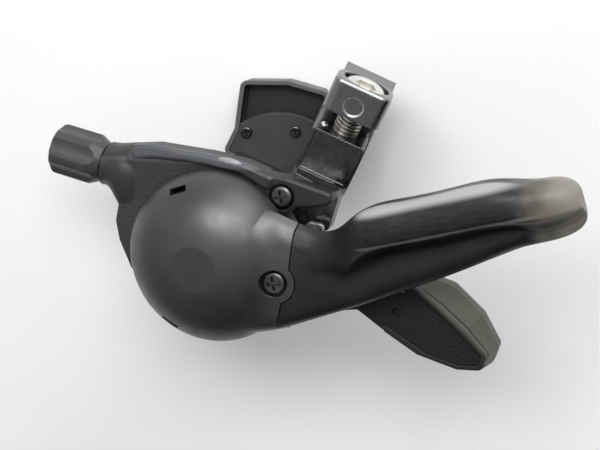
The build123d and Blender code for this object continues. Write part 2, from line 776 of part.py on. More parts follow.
def back_screws():
    first, second = [pan_screw(x, y, case_high - 0.2, 1.3, 0.7, 0.8, 2.9) for x, y in BACK_SCREWS]
    return Compound(children=[first, second])


def cable_plug():
    """Round plug that closes the cable entry in the pod wall."""
    body = Cylinder(1.9, 2.4, align=UP) + Pos(0, 0, 3.6 - 0.6) * Cylinder(2.6, 1.2, align=UP)
    body = body + Cylinder(1.85, 3.4, align=UP)
    return POD * plug_frame(body, 14.4)


NODES = {
    "bracket": bracket,
    "clamp_band": clamp,
    "clamp_bolt": clamp_bolt,
    "bracket_screw": bracket_screw,
    "base_plate": base_plate,
    "guide_plate": guide_plate,
    "main_axle": main_axle,
    "axle_washer": axle_washer,
    "axle_nut": axle_nut,
    "release_pin": release_pin,
    "holding_pawl_pin": holding_pawl_pin,
    "cable_drum": cable_drum,
    "ratchet_ring": ratchet_ring,
    "drum_spring": drum_spring,
    "drive_pawl": drive_pawl,
    "drive_pawl_pin": drive_pawl_pin,
    "drive_pawl_spring": drive_pawl_spring,
    "holding_pawl": holding_pawl,
    "holding_pawl_spring": holding_pawl_spring,
    "main_lever": main_lever,
    "lever_cap": lever_cap,
    "lever_cap_screw": lever_cap_screw,
    "lever_bush": lever_bush,
    "lever_spring": lever_spring,
    "release_lever": release_lever,
    "release_spring": release_spring,
    "barrel_knob": barrel_knob,
    "barrel_stem": barrel_stem,
    "barrel_spring": barrel_spring,
    "indicator_case": indicator_case,
    "indicator_window": indicator_window,
    "indicator_dial": indicator_dial,
    "needle_pin": needle_pin,
    "indicator_needle": indicator_needle,
    "indicator_back_plate": back_plate,
    "indicator_screws": back_screws,
    "cable_plug": cable_plug,
}

os.makedirs("parts", exist_ok=True)
for name, make in NODES.items():
    export_step(make(), "parts/" + name + ".step")
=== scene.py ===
# %% [markdown]
# # A trigger gear shifter, dressed in Blender
# The CAD model gives every rigid piece at its real size, in metres, with its origin at the centre of the
# handlebar bore. This script loads it as a fixed frame, gives each piece a finish made of shader nodes,
# adds the fine details that the CAD leaves out, and sets the light and the camera.

# %% Load the frame
import json
import math

import bmesh
import bpy
from mathutils import Matrix, Vector


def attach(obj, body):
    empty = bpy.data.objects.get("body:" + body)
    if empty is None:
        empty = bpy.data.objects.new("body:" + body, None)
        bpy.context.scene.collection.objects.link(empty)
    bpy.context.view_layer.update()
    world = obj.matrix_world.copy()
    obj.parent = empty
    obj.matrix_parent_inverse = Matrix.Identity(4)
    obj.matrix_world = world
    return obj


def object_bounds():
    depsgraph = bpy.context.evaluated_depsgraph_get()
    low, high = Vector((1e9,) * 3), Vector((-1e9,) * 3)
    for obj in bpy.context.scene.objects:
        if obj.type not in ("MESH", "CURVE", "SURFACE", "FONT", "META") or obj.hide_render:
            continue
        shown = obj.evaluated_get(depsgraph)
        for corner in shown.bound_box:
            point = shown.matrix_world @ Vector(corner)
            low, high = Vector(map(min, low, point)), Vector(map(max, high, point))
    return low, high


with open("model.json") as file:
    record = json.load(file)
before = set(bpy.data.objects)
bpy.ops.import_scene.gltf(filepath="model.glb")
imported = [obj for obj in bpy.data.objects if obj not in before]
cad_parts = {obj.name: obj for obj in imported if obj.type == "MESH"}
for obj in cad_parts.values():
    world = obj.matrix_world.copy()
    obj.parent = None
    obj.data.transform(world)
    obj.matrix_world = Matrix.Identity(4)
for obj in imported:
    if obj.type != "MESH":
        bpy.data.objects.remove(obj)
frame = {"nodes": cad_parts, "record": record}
nodes = frame["nodes"]
cad_box = [list(corner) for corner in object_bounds()]
print("CAD nodes:", len(nodes), "box:", cad_box)

# %% [markdown]
# ## Frames of the pieces
# The pod leans a little from the handlebar's frame, the clamp is turned about the bar, and the lever's arm
# is turned within the pod. Finishes and details are easier to place in those frames, so they are named once.

# %% Name the pod's, the clamp's and the lever's frames
MM = 0.001
POD_PLACE = (-13.9 * MM, -28.8 * MM, 24.4 * MM)
POD_LEAN = math.radians(-11.2)
CLAMP_TURN = math.radians(8.0)
LEVER_TURN = math.radians(42.0)

pod_frame = Matrix.Translation(POD_PLACE) @ Matrix.Rotation(POD_LEAN, 4, "Y")
clamp_frame = Matrix.Rotation(CLAMP_TURN, 4, "X")
print("pod frame at", [round(v, 4) for v in pod_frame.translation])

# %% [markdown]
# ## Camera
# The picture looks down on the cap from above the handlebar. The camera's right and up directions were
# worked out from points that the picture and the model share, so the script states them as a matrix. The view
# transform is Standard, so that a colour shows about as it is written.

# %% Make the camera
CAMERA_PLACE = Vector((-0.0003, 0.0954, 0.2868))
CAMERA_RIGHT = Vector((0.90778, 0.38696, -0.16187))
CAMERA_UP = Vector((-0.41945, 0.83747, -0.35032))
CAMERA_BACK = Vector((0.0, 0.38591, 0.92254))

scene = bpy.context.scene
camera_data = bpy.data.cameras.new("photo_camera")
camera_data.sensor_width = 36.0
camera_data.lens = 84.84
camera_data.clip_start = 0.01
camera_data.dof.use_dof = False
camera = bpy.data.objects.new("photo_camera", camera_data)
scene.collection.objects.link(camera)
turn = Matrix((CAMERA_RIGHT, CAMERA_UP, CAMERA_BACK)).transposed().to_4x4()
camera.matrix_world = Matrix.Translation(CAMERA_PLACE) @ turn
scene.camera = camera
scene.view_settings.view_transform = "Standard"
print("camera lens:", camera_data.lens)

# %% [markdown]
# ## Floor
# The part lies on a pale surface. One large square just below the lowest CAD point is enough, because the
# camera looks down and never sees its rim.

# %% Lay the floor
FLOOR_GAP = 0.2 * MM
FLOOR_HALF = 2.0


def add_floor(level, half):
    """Pale plane below the part."""
    mesh = bpy.data.meshes.new("floor")
    corners = [(-half, -half, level), (half, -half, level), (half, half, level), (-half, half, level)]
    mesh.from_pydata(corners, [], [(0, 1, 2, 3)])
    plane = bpy.data.objects.new("floor", mesh)
    scene.collection.objects.link(plane)
    return plane


floor_level = cad_box[0][2] - FLOOR_GAP
floor = add_floor(floor_level, FLOOR_HALF)
print("floor at", round(floor_level, 4))

# %% [markdown]
# ## Lamps
# Black plastic shows its shape by what it mirrors, so small lamps would leave only dots on it. Two wide, weak
# lamps are used instead. One hangs overhead, a little beyond the part, and one stands low on the far side
# like a window. Their power is low enough that the pale floor doesn't burn out.

# %% Hang the lamps
PART_MIDDLE = Vector((0.0, -0.015, 0.02))


def add_lamp(name, direction, distance, size, power, colour):
    """Soft lamp, wider than tall, that faces the middle of the part."""
    data = bpy.data.lights.new(name, "AREA")
    data.shape = "RECTANGLE"
    data.size, data.size_y = size
    data.energy = power
    data.color = colour
    lamp = bpy.data.objects.new(name, data)
    scene.collection.objects.link(lamp)
    away = Vector(direction).normalized()
    facing = away.to_track_quat("Z", "Y").to_matrix().to_4x4()
    lamp.matrix_world = Matrix.Translation(PART_MIDDLE + away * distance) @ facing
    return lamp


ceiling_lamp = add_lamp(
    "ceiling_light", direction=(-0.26, 0.56, 0.79), distance=0.60, size=(0.46, 0.22),
    power=3.1, colour=(1.0, 0.985, 0.96),
)
window_lamp = add_lamp(
    "window_light", direction=(-0.05, 0.93, 0.34), distance=0.70, size=(0.50, 0.36),
    power=2.0, colour=(0.95, 0.98, 1.0),
)
print("lamps:", ceiling_lamp.name, window_lamp.name)

# %% [markdown]
# ## Room
# The room is bright toward the far left and overhead, and dim on the near side. A photograph of a room could
# give that, but a ramp is enough here: the dot product of the view direction with one chosen direction sets
# the strength of the world. It draws the long pale lines along the edges of the dark pieces.

# %% Light the room
BRIGHT_SIDE = (-0.62, 0.62, 0.48)
ROOM_TINT = (0.95, 0.97, 1.0, 1.0)
DIM_SIDE_STRENGTH = 0.03
BRIGHT_SIDE_STRENGTH = 0.75

world = bpy.data.worlds.new("room")
scene.world = world
world.use_nodes = True
room = world.node_tree
view_direction = room.nodes.new("ShaderNodeTexCoord")
toward = room.nodes.new("ShaderNodeVectorMath")
toward.operation = "DOT_PRODUCT"
toward.inputs[1].default_value = BRIGHT_SIDE
ramp = room.nodes.new("ShaderNodeMapRange")
ramp.interpolation_type = "SMOOTHSTEP"
ramp.inputs["From Min"].default_value = -0.5
ramp.inputs["From Max"].default_value = 0.9
ramp.inputs["To Min"].default_value = DIM_SIDE_STRENGTH
ramp.inputs["To Max"].default_value = BRIGHT_SIDE_STRENGTH
room.nodes["Background"].inputs["Color"].default_value = ROOM_TINT
room.links.new(view_direction.outputs["Generated"], toward.inputs[0])
room.links.new(toward.outputs["Value"], ramp.inputs["Value"])
room.links.new(ramp.outputs["Result"], room.nodes["Background"].inputs["Strength"])
print("room nodes:", len(room.nodes))

# %% [markdown]
# ## A helper for shader nodes
# A finish is a small graph: coordinates, noises, masks, and the shader that they feed. Each could be wired by
# hand in the editor, but many finishes share the same steps. So the helper grows in three short classes, and
# each finish then reads as a list of steps. The first class adds a node and feeds a socket.

# %% Add and feed nodes


class Graph:
    """One material and its node tree."""

    def __init__(self, name):
        self.material = bpy.data.materials.new(name)
        self.material.use_nodes = True
        self.tree = self.material.node_tree
        self.shader = self.tree.nodes["Principled BSDF"]
        self.place = self.add("ShaderNodeTexCoord").outputs["Object"]

    def add(self, kind, **values):
        node = self.tree.nodes.new(kind)
        for key, value in values.items():
            setattr(node, key, value)
        return node

    def feed(self, socket, value):
        """Sets a socket to a number or colour, or links it to another node's output."""
        if isinstance(value, bpy.types.NodeSocket):
            self.tree.links.new(value, socket)
        elif isinstance(value, tuple) and len(value) == 3 and socket.type == "RGBA":
            socket.default_value = (*value, 1.0)
        else:
            socket.default_value = value


print("graph helper ready")

# %% [markdown]
# ## Coordinates and noise
# Wear and grain have to stay on their piece in every pose, so all patterns read Object coordinates. A Mapping
# node of the Texture kind undoes a place and a turn, and that gives X, Y and Z in the pod's own frame.

# %% Read coordinates and noise


class Pattern(Graph):
    """Graph with coordinates, noises and ramps."""

    def mapped(self, source, location=(0, 0, 0), rotation=(0, 0, 0), scale=(1, 1, 1)):
        node = self.add("ShaderNodeMapping", vector_type="TEXTURE")
        self.feed(node.inputs["Location"], location)
        self.feed(node.inputs["Rotation"], rotation)
        self.feed(node.inputs["Scale"], scale)
        self.feed(node.inputs["Vector"], source)
        return node.outputs["Vector"]

    def axes(self, source):
        node = self.add("ShaderNodeSeparateXYZ")
        self.feed(node.inputs["Vector"], source)
        return node.outputs["X"], node.outputs["Y"], node.outputs["Z"]

    def pod_axes(self, turned=0.0):
        """X, Y and Z in the pod's frame, turned about its axle."""
        place = self.mapped(self.place, POD_PLACE, (0, POD_LEAN, 0))
        if turned:
            place = self.mapped(place, rotation=(0, 0, turned))
        return self.axes(place)

    def noise(self, scale, detail=3.0, vector=None):
        node = self.add("ShaderNodeTexNoise")
        self.feed(node.inputs["Scale"], scale)
        self.feed(node.inputs["Detail"], detail)
        self.feed(node.inputs["Vector"], vector or self.place)
        return node.outputs["Fac"]

    def spread(self, source, low, high, start=0.0, end=1.0, smooth=False):
        """Ramp that runs from start to end while the source runs from low to high."""
        node = self.add("ShaderNodeMapRange")
        if smooth:
            node.interpolation_type = "SMOOTHSTEP"
        for name, value in (("From Min", low), ("From Max", high), ("To Min", start), ("To Max", end)):
            self.feed(node.inputs[name], value)
        self.feed(node.inputs["Value"], source)
        return node.outputs["Result"]


print("pattern helper ready")

# %% [markdown]
# ## Masks and the surface
# A mask is a number from zero to one that says where a mark lies, and masks are joined by multiplying them.
# Two more calls give the surface its shape close up: softened edges, as every moulded piece has, and a fine
# bump for the grain. The last call feeds the shader.

# %% Mix masks and finish the surface


class Finish(Pattern):
    """Pattern with masks, colours and a surface."""

    def math(self, operation, *numbers):
        node = self.add("ShaderNodeMath", operation=operation)
        for socket, number in zip(node.inputs, numbers):
            self.feed(socket, number)
        return node.outputs["Value"]

    def product(self, first, *others):
        for other in others:
            first = self.math("MULTIPLY", first, other)
        return first

    def near(self, source, value, reach):
        """One where the source lies within reach of a value, and zero elsewhere."""
        return self.math("COMPARE", source, value, reach)

    def distance(self, x, y, centre):
        """Plan distance from a point, in metres."""
        dx = self.math("SUBTRACT", x, centre[0])
        dy = self.math("SUBTRACT", y, centre[1])
        return self.math("SQRT", self.math("ADD", self.product(dx, dx), self.product(dy, dy)))

    def blend(self, share, first, second):
        """Mixes two colours, which a Mix node holds at inputs 6 and 7."""
        node = self.add("ShaderNodeMix", data_type="RGBA")
        self.feed(node.inputs["Factor"], share)
        self.feed(node.inputs[6], first)
        self.feed(node.inputs[7], second)
        return node.outputs[2]

    def mix(self, share, first, second):
        """Mixes two numbers, which a Mix node holds at inputs 2 and 3."""
        node = self.add("ShaderNodeMix", data_type="FLOAT")
        self.feed(node.inputs["Factor"], share)
        self.feed(node.inputs[2], first)
        self.feed(node.inputs[3], second)
        return node.outputs[0]

    def soft_edges(self, radius):
        node = self.add("ShaderNodeBevel", samples=4)
        self.feed(node.inputs["Radius"], radius)
        return node.outputs["Normal"]

    def bump(self, height, depth, strength, below):
        node = self.add("ShaderNodeBump")
        self.feed(node.inputs["Distance"], depth)
        self.feed(node.inputs["Strength"], strength)
        self.feed(node.inputs["Height"], height)
        self.feed(node.inputs["Normal"], below)
        return node.outputs["Normal"]

    def finish(self, colour, rough, normal):
        self.feed(self.shader.inputs["Base Color"], colour)
        self.feed(self.shader.inputs["Roughness"], rough)
        self.feed(self.shader.inputs["Normal"], normal)
        return self.material


print("finish helper ready")

# %% [markdown]
# ## Moulded plastic
# Most of the part is glass-filled plastic. Up close it has a fine grain from the mould, a slow drift in tone
# and a few rubbed streaks. One function gives those three layers, and a piece with its own marks mixes them
# in. A second function makes the finish of a piece that has no marks of its own.

# %% Write the plastic layers
GRAIN_SCALE = 3000.0
GRAIN_DEPTH = 0.03 * MM


def plastic_layers(finish, dark, light, rough, grain_scale=GRAIN_SCALE):
    """Colour, roughness and grain of a moulded piece."""
    drift = finish.spread(finish.noise(140.0, detail=4.0), 0.3, 0.7)
    colour = finish.blend(drift, dark, light)
    along = finish.mapped(finish.place, rotation=(0.3, 0.2, 0.9), scale=(9.0, 0.6, 0.6))
    streaks = finish.spread(finish.noise(1100.0, detail=2.0, vector=along), 0.68, 0.82, end=0.30)
    rubbed = tuple(c * 1.8 + 0.01 for c in light)
    colour = finish.blend(streaks, colour, rubbed)
    patchy = finish.spread(finish.noise(260.0), 0.3, 0.7, start=rough - 0.05, end=rough + 0.07)
    return colour, patchy, finish.noise(grain_scale, detail=2.0)


def plastic(name, dark, light, rough):
    """Plain moulded piece."""
    finish = Finish(name)
    colour, patchy, grain = plastic_layers(finish, dark, light, rough)
    edges = finish.soft_edges(0.25 * MM)
    return finish.finish(colour, patchy, finish.bump(grain, GRAIN_DEPTH, 0.5, edges))


cover_plastic = plastic("cover_plastic", (0.040, 0.041, 0.044), (0.055, 0.056, 0.060), 0.42)
knob_plastic = plastic("knob_plastic", (0.030, 0.030, 0.033), (0.046, 0.046, 0.050), 0.32)
drum_plastic = plastic("drum_plastic", (0.09, 0.09, 0.09), (0.12, 0.12, 0.12), 0.40)
plug_rubber = plastic("plug_rubber", (0.012, 0.012, 0.013), (0.020, 0.020, 0.021), 0.60)
needle_paint = plastic("needle_paint", (0.55, 0.10, 0.03), (0.66, 0.14, 0.05), 0.40)
print("plain plastics: 5")

# %% [markdown]
# ## The indicator case
# The shell of the gear indicator is dark, and the narrow rim that faces the handlebar is paler where it
# catches the light. The rim is the highest part of the shell, so a short ramp on Z picks it out.

# %% Finish the indicator case
CASE_RIM = (-12.5 * MM, -12.25 * MM)


def case_finish():
    finish = Finish("case_plastic")
    colour, patchy, grain = plastic_layers(finish, (0.024, 0.025, 0.028), (0.038, 0.039, 0.043), 0.33)
    height = finish.axes(finish.place)[2]
    colour = finish.blend(finish.spread(height, *CASE_RIM), colour, (0.10, 0.104, 0.106))
    edges = finish.soft_edges(0.3 * MM)
    return finish.finish(colour, patchy, finish.bump(grain, GRAIN_DEPTH, 0.5, edges))


case_plastic = case_finish()
print("case finish nodes:", len(case_plastic.node_tree.nodes))

# %% [markdown]
# ## The cap
# The dome is smoother than the rest. Its top carries a faint round mark about ten millimetres across, a
# little darker than the skin around it, and hair-thin scratches from use. The mark is a mask on the distance
# from the axle, read in the pod's frame, and the scratches are a noise stretched into hairs.

# %% Finish the cap
CAP_MARK_EDGE = (4.7 * MM, 5.0 * MM)


def cap_finish():
    finish = Finish("cap_plastic")
    dark, light = (0.013, 0.0135, 0.014), (0.021, 0.0215, 0.022)
    colour, patchy, grain = plastic_layers(finish, dark, light, 0.38, grain_scale=4200.0)
    x, y = finish.pod_axes()[:2]
    reach = finish.distance(x, y, centre=(0.0, 0.0))
    mark = finish.spread(reach, *CAP_MARK_EDGE, start=1.0, end=0.0, smooth=True)
    colour = finish.blend(finish.product(mark, 0.55), colour, (0.010, 0.0101, 0.0105))
    hair = finish.mapped(finish.place, rotation=(0.1, 0.9, 0.5), scale=(26.0, 0.5, 0.5))
    scratch = finish.spread(finish.noise(900.0, detail=1.0, vector=hair), 0.74, 0.80, end=0.25)
    colour = finish.blend(scratch, colour, (0.10, 0.10, 0.10))
    edges = finish.soft_edges(0.3 * MM)
    finish.shader.inputs["Specular IOR Level"].default_value = 0.85
    return finish.finish(colour, patchy, finish.bump(grain, 0.01 * MM, 0.4, edges))


cap_plastic = cap_finish()
print("cap finish nodes:", len(cap_plastic.node_tree.nodes))

# %% [markdown]
# ## The pod body
# The ridge and the boss are satin, the top edge of the ridge carries a painted highlight, paler where it
# catches the light, and the arm toward the clamp is darker. The flat face between the ridge and the cap has a
# coarse spark-eroded grain. That face is level in the pod's frame, so its height picks it out. A small sunken
# ring, as a mould leaves, marks the foot.

# %% Finish the pod body
BODY_FACE_LEVEL = -2.4 * MM
CREST_SLOPE = 0.475
CREST_SIDE = (20.2 * MM, 20.8 * MM)
CREST_HEIGHT = (-3.0 * MM, -2.2 * MM)
ARM_START = (3.0 * MM, 7.0 * MM)
MOULD_RING = (12.35 * MM, 20.96 * MM)
MOULD_RING_RADIUS = 0.8 * MM


def body_finish():
    finish = Finish("body_plastic")
    dark, light = (0.014, 0.0145, 0.0155), (0.024, 0.0245, 0.026)
    colour, patchy, grain = plastic_layers(finish, dark, light, 0.38, grain_scale=3200.0)
    x, y, z = finish.pod_axes()
    face = finish.near(z, BODY_FACE_LEVEL, 0.15 * MM)
    colour = finish.blend(finish.product(face, 0.5), colour, (0.024, 0.024, 0.025))
    # Painted highlight: the top edge of the ridge is coloured paler, where it catches the light.
    outward = finish.math("SUBTRACT", y, finish.product(x, CREST_SLOPE))
    crest_highlight = finish.product(finish.spread(outward, *CREST_SIDE), finish.spread(z, *CREST_HEIGHT))
    colour = finish.blend(crest_highlight, colour, (0.070, 0.074, 0.080))
    arm = finish.product(finish.spread(x, *ARM_START), 0.7)
    colour = finish.blend(arm, colour, (0.006, 0.006, 0.0064))
    rough = finish.mix(face, patchy, 0.62)
    fine = finish.bump(grain, 0.02 * MM, 0.4, finish.soft_edges(0.5 * MM))
    eroded = finish.product(finish.noise(2300.0), face)
    grained = finish.bump(eroded, 0.22 * MM, 0.9, fine)
    ring = finish.near(finish.distance(x, y, MOULD_RING), MOULD_RING_RADIUS, 0.12 * MM)
    return finish.finish(colour, rough, finish.bump(ring, 0.1 * MM, -0.5, grained))


body_plastic = body_finish()
print("body finish nodes:", len(body_plastic.node_tree.nodes))

# %% [markdown]
# ## The main lever
# The arm is matte black. The thumb pad is satin with fine lines along it, a pale strip of painted highlight
# runs up its far side, a thin line of painted highlight marks its near rim, and the tip is worn to beige.
# Painting the wear by hand would tie it to one mesh. In the lever's own frame X runs along the arm, so each
# mark is a ramp on X, Y or Z instead.

# %% Finish the main lever
PAD_START = (33.0 * MM, 38.0 * MM)
PAD_HEIGHT = (9.6 * MM, 11.0 * MM)
STRIP_SIDE = (2.3 * MM, 3.6 * MM)
STRIP_CLIMB = (3.6 * MM, 5.2 * MM)
STRIP_SLOPE = 0.1
PAD_RIM_SIDE = -2.9 * MM
WORN_TIP = (66.0 * MM, 76.0 * MM)
WORN_DRIFT = 2.5 * MM


def pad_marks(finish, colour, along, across, height):
    """Satin pad with its painted highlights, a pale strip and a rim line, and the mask of the pad."""
    start = finish.spread(along, *PAD_START, smooth=True)
    pad = finish.product(finish.spread(height, *PAD_HEIGHT, smooth=True), start)
    grooves = finish.mapped(finish.place, rotation=(0, 0, LEVER_TURN))
    grooves = finish.mapped(grooves, scale=(24.0, 1.0, 1.0))
    lines = finish.spread(finish.noise(1500.0, detail=1.0, vector=grooves), 0.35, 0.65)
    satin = finish.blend(lines, (0.010, 0.0102, 0.011), (0.018, 0.0185, 0.020))
    colour = finish.blend(pad, colour, satin)
    # Painted highlight: a pale strip up the far side of the pad, where its edge catches the light.
    climb = finish.math("SUBTRACT", height, finish.product(along, STRIP_SLOPE))
    far_side = finish.spread(across, *STRIP_SIDE, smooth=True)
    strip_highlight = finish.product(far_side, start, finish.spread(climb, *STRIP_CLIMB, smooth=True))
    colour = finish.blend(strip_highlight, colour, (0.30, 0.305, 0.31))
    # Painted highlight: a thin pale line along the near edge of the pad, where the edge mirrors the pale
    # floor.
    rim_highlight = finish.near(across, PAD_RIM_SIDE, 0.35 * MM)
    return finish.blend(finish.product(rim_highlight, pad, 0.6), colour, (0.16, 0.16, 0.155)), pad


def worn_tip(finish, colour, along, height):
    """Beige wear that fades in toward the tip."""
    drift = finish.spread(finish.noise(220.0, detail=4.0), 0.3, 0.7, start=-WORN_DRIFT, end=WORN_DRIFT)
    worn = finish.spread(finish.math("ADD", along, drift), *WORN_TIP, end=0.9, smooth=True)
    beige = finish.blend(finish.spread(height, 7.0 * MM, 10.5 * MM), (0.30, 0.285, 0.26), (0.15, 0.13, 0.10))
    beige = finish.blend(finish.spread(along, 73.0 * MM, 78.0 * MM), beige, (0.22, 0.205, 0.18))
    return finish.blend(worn, colour, beige)


def lever_finish():
    finish = Finish("lever_plastic")
    dark, light = (0.007, 0.007, 0.0072), (0.013, 0.013, 0.0132)
    colour, patchy, grain = plastic_layers(finish, dark, light, 0.40, grain_scale=2600.0)
    along, across, height = finish.pod_axes(LEVER_TURN)
    colour, pad = pad_marks(finish, colour, along, across, height)
    colour = worn_tip(finish, colour, along, height)
    rough = finish.mix(pad, patchy, 0.44)
    edges = finish.soft_edges(0.4 * MM)
    finish.shader.inputs["Specular IOR Level"].default_value = 0.35
    return finish.finish(colour, rough, finish.bump(grain, GRAIN_DEPTH, 0.5, edges))


lever_plastic = lever_finish()
print("lever finish nodes:", len(lever_plastic.node_tree.nodes))

# %% [markdown]
# ## The release lever
# Its recessed face is dark with an eroded grain, and the outside of its finger wall is smooth and paler. The
# recess is level in the pod's frame, so its height picks it out. The wall is what lies low, far along the
# lever and on its outer side, so three ramps are multiplied.

# %% Finish the release lever
RECESS_LEVEL = -4.8 * MM
WALL_DROP = (-3.6 * MM, -4.1 * MM)
WALL_START = (35.0 * MM, 38.0 * MM)
WALL_SLOPE = 0.3
WALL_SIDE = (23.4 * MM, 24.6 * MM)


def release_finish():
    finish = Finish("release_plastic")
    dark, light = (0.010, 0.0098, 0.0085), (0.017, 0.0168, 0.0148)
    colour, patchy, grain = plastic_layers(finish, dark, light, 0.44, grain_scale=2600.0)
    x, y, z = finish.pod_axes()
    low = finish.product(finish.spread(z, *WALL_DROP), finish.spread(x, *WALL_START))
    outward = finish.math("ADD", y, finish.product(x, WALL_SLOPE))
    wall = finish.product(low, finish.spread(outward, *WALL_SIDE))
    colour = finish.blend(wall, colour, (0.075, 0.073, 0.058))
    face = finish.near(z, RECESS_LEVEL, 0.12 * MM)
    colour = finish.blend(face, colour, (0.007, 0.007, 0.0062))
    rough = finish.mix(face, patchy, 0.58)
    fine = finish.bump(grain, 0.02 * MM, 0.4, finish.soft_edges(0.4 * MM))
    eroded = finish.product(finish.noise(2200.0), face)
    finish.shader.inputs["Specular IOR Level"].default_value = 0.30
    return finish.finish(colour, rough, finish.bump(eroded, 0.2 * MM, 0.9, fine))


release_plastic = release_finish()
print("release finish nodes:", len(release_plastic.node_tree.nodes))

# %% [markdown]
# ## Metals
# Bolts and plates are plated steel with fine tool marks and dull patches, and the small screws are blackened.
# They differ only in colour and polish, so all of them share one function.

# %% Finish the metals


def metal_layers(finish, dark, light, rough, tool_marks):
    """Colour, roughness and normal of a metal piece."""
    drift = finish.spread(finish.noise(420.0, detail=4.0), 0.32, 0.68)
    colour = finish.blend(drift, dark, light)
    patchy = finish.spread(finish.noise(700.0), 0.3, 0.7, start=rough - 0.05, end=rough + 0.12)
    lines = finish.noise(3000.0, detail=2.0, vector=finish.mapped(finish.place, scale=(6.0, 1.0, 1.0)))
    finish.shader.inputs["Metallic"].default_value = 1.0
    return colour, patchy, finish.bump(lines, tool_marks, 0.4, finish.soft_edges(0.25 * MM))


def metal(name, dark, light, rough):
    """Plain metal piece."""
    finish = Finish(name)
    return finish.finish(*metal_layers(finish, dark, light, rough, tool_marks=0.02 * MM))


bolt_steel = metal("bolt_steel", (0.72, 0.70, 0.67), (0.86, 0.85, 0.82), 0.30)
screw_black = metal("screw_black", (0.07, 0.07, 0.072), (0.14, 0.14, 0.142), 0.30)
plate_steel = metal("plate_steel", (0.40, 0.40, 0.40), (0.58, 0.58, 0.57), 0.35)
pin_steel = metal("pin_steel", (0.48, 0.48, 0.48), (0.64, 0.64, 0.64), 0.30)
spring_steel = metal("spring_steel", (0.32, 0.32, 0.32), (0.46, 0.46, 0.46), 0.30)
stem_metal = metal("stem_metal", (0.50, 0.50, 0.51), (0.66, 0.66, 0.67), 0.32)
thread_steel = metal("thread_steel", (0.07, 0.06, 0.045), (0.22, 0.20, 0.17), 0.34)
print("plain metals: 7")

# %% [markdown]
# ## The clamp
# The clamp is black over metal and fairly glossy. Its upper ear is worn greyer than the band, and a bright
# ring edges the round mark on the front of that ear. Both are masks in the clamp's own frame: a ramp on Y
# for the ear, and a narrow band of distance for the ring.

# %% Finish the clamp
UPPER_EAR = (11.0 * MM, 12.0 * MM)
EAR_FRONT = (18.6 * MM, 19.0 * MM)
EAR_MARK = (-0.5 * MM, 14.7 * MM)
EAR_MARK_RADIUS = 2.0 * MM


def clamp_finish():
    finish = Finish("clamp_paint")
    dark, light = (0.10, 0.10, 0.104), (0.15, 0.15, 0.154)
    colour, patchy, normal = metal_layers(finish, dark, light, 0.26, tool_marks=0.008 * MM)
    x, y, z = finish.axes(finish.mapped(finish.place, rotation=(CLAMP_TURN, 0, 0)))
    colour = finish.blend(finish.spread(y, *UPPER_EAR), colour, (0.26, 0.265, 0.27))
    ring = finish.near(finish.distance(x, y, EAR_MARK), EAR_MARK_RADIUS, 0.16 * MM)
    front = finish.spread(z, *EAR_FRONT)
    colour = finish.blend(finish.product(ring, front), colour, (0.75, 0.76, 0.77))
    return finish.finish(colour, patchy, normal)


clamp_paint = clamp_finish()
print("clamp finish nodes:", len(clamp_paint.node_tree.nodes))

# %% [markdown]
# ## Dial and window
# The dial plate is pale where it faces the window and dark behind, where it closes the shell. Its height
# tells the two faces apart. The window is clear plastic with a slight haze.

# %% Finish the dial and the window
DIAL_BACK = (-15.95 * MM, -15.85 * MM)


def dial_finish():
    finish = Finish("dial_face")
    colour, patchy, grain = plastic_layers(finish, (0.60, 0.60, 0.57), (0.68, 0.68, 0.65), 0.50)
    height = finish.axes(finish.place)[2]
    colour = finish.blend(finish.spread(height, *DIAL_BACK), colour, (0.020, 0.0205, 0.023))
    edges = finish.soft_edges(0.1 * MM)
    return finish.finish(colour, patchy, finish.bump(grain, 0.01 * MM, 0.3, edges))


def window_finish():
    finish = Finish("window_clear")
    haze = finish.spread(finish.noise(500.0), 0.3, 0.7, start=0.03, end=0.10)
    finish.feed(finish.shader.inputs["Roughness"], haze)
    finish.feed(finish.shader.inputs["Transmission Weight"], 1.0)
    finish.feed(finish.shader.inputs["IOR"], 1.49)
    return finish.material


dial_face = dial_finish()
window_clear = window_finish()
print("finishes:", dial_face.name, window_clear.name)

# %% [markdown]
# ## The floor's finish
# The floor is a pale, slightly uneven white. More light would also whiten it, but it would wash out the part.
# So the camera alone sees a faint glow on the floor, by way of Is Camera Ray, and the part gets none of it.

# %% Finish the floor
FLOOR_GLOW = 0.05


def floor_finish():
    finish = Finish("pale_floor")
    tone = finish.spread(finish.noise(9.0), 0.3, 0.7)
    colour = finish.blend(tone, (0.78, 0.78, 0.775), (0.83, 0.83, 0.83))
    seen = finish.add("ShaderNodeLightPath").outputs["Is Camera Ray"]
    finish.feed(finish.shader.inputs["Emission Color"], (1.0, 1.0, 0.99))
    finish.feed(finish.shader.inputs["Emission Strength"], finish.product(seen, FLOOR_GLOW))
    flat = finish.add("ShaderNodeNewGeometry").outputs["Normal"]
    tooth = finish.noise(1400.0, detail=1.0)
    return finish.finish(colour, 0.9, finish.bump(tooth, 0.1 * MM, 0.3, flat))


floor.data.materials.append(floor_finish())
print("floor finish:", floor.data.materials[0].name)

# %% [markdown]
# ## Put the finishes on the CAD nodes
# The record names a slot for each node, so the finishes are handed out by slot. The small crossed-head screws
# share a slot with the clamp bolt but are black, so they are named one by one.

